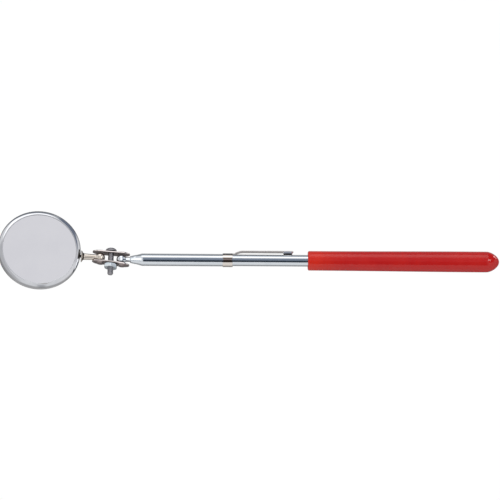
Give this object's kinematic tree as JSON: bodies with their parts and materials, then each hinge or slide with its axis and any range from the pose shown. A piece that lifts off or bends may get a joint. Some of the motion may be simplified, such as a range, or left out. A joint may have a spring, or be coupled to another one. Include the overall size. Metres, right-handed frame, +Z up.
{
  "type": "telescoping inspection mirror",
  "caption": "Round inspection mirror on a screw-clamped double ball joint, with telescoping chromed tubes, a pocket clip and a vinyl grip.",
  "frame": {"origin": "on the table under the middle of the object's box, with the tool lying on its grip and clamp", "axes": "+X along the handle from the mirror to the grip, +Z up, +Y towards the screw head and the pocket clip"},
  "size_m": [0.3614, 0.0594, 0.0223],
  "materials": {
    "case_nickel": "polished nickel plate",
    "silvered_glass": "clear silvered glass",
    "pad": "grey card",
    "stud_nickel": "warm nickel plate",
    "plate_nickel": "tumbled dull nickel",
    "screw_steel": "dark plain steel",
    "nut_zinc": "bright zinc plate",
    "ball_chrome": "polished chrome",
    "tube_chrome": "polished chrome with fine drawing lines",
    "clip_nickel": "warm nickel plate",
    "sleeve_brass": "plain spring brass",
    "tube_steel": "plain drawn tube",
    "plug_plastic": "moulded",
    "grip_vinyl": "dipped red vinyl"
  },
  "bodies": {
    "grip": {"grip": "grip_vinyl", "grip_tube": "tube_steel", "grip_tube_plug": "plug_plastic"},
    "rear_sleeve": {"rear_friction_sleeve": "sleeve_brass"},
    "inner_tube": {"inner_tube": "tube_chrome"},
    "front_sleeve": {"front_friction_sleeve": "sleeve_brass"},
    "front_tube": {"front_tube": "tube_chrome", "pocket_clip": "clip_nickel"},
    "handle_ball": {"handle_ball_stud": "ball_chrome"},
    "clamp": {"clamp_plate_screw_side": "plate_nickel", "clamp_plate_nut_side": "plate_nickel"},
    "clamp_screw": {"clamp_screw": "screw_steel"},
    "clamp_nut": {"clamp_nut": "nut_zinc"},
    "mirror_stud": {"mirror_stud": "stud_nickel"},
    "mirror_head": {"mirror_case": "case_nickel", "mirror_glass": "silvered_glass", "mirror_backing_pad": "pad"}
  },
  "joints": [
    {"name": "inner_tube_slide", "type": "slide", "parent": "grip", "child": "rear_sleeve", "axis": [-1, 0, 0], "range_m": [-0.01, 0.09]},
    {"name": "inner_tube_twist", "type": "hinge", "parent": "rear_sleeve", "child": "inner_tube", "pos_m": [-0.09239, -0.00394, 0.0075], "axis": [1, 0, 0], "continuous": true},
    {"name": "front_tube_twist", "type": "hinge", "parent": "inner_tube", "child": "front_sleeve", "pos_m": [-0.09239, -0.00394, 0.0075], "axis": [1, 0, 0], "continuous": true},
    {"name": "front_tube_slide", "type": "slide", "parent": "front_sleeve", "child": "front_tube", "axis": [-1, 0, 0], "range_m": [0, 0.048]},
    {"name": "handle_ball_spin", "type": "hinge", "parent": "front_tube", "child": "handle_ball", "pos_m": [-0.09239, -0.00394, 0.0075], "axis": [1, 0, 0], "continuous": true},
    {"name": "clamp_swing", "type": "hinge", "parent": "handle_ball", "child": "clamp", "pos_m": [-0.09239, -0.00394, 0.0075], "axis": [0.0872, 0.9962, 0], "range_deg": [-75, 75]},
    {"name": "clamp_screw_turn", "type": "hinge", "parent": "clamp", "child": "clamp_screw", "pos_m": [-0.09996, -0.00327, 0.0075], "axis": [0.0087, 1, 0], "range_deg": [0, 360]},
    {"name": "clamp_nut_turn", "type": "hinge", "parent": "clamp", "child": "clamp_nut", "pos_m": [-0.10001, -0.00924, 0.0075], "axis": [0.0872, 0.9962, 0], "range_deg": [0, 360]},
    {"name": "mirror_swing", "type": "hinge", "parent": "clamp", "child": "mirror_stud", "pos_m": [-0.10773, -0.00259, 0.0075], "axis": [0.0872, 0.9962, 0], "range_deg": [-85, 65]},
    {"name": "mirror_spin", "type": "hinge", "parent": "mirror_stud", "child": "mirror_head", "pos_m": [-0.10773, -0.00259, 0.0075], "axis": [-0.986, 0, 0.1668], "continuous": true}
  ]
}
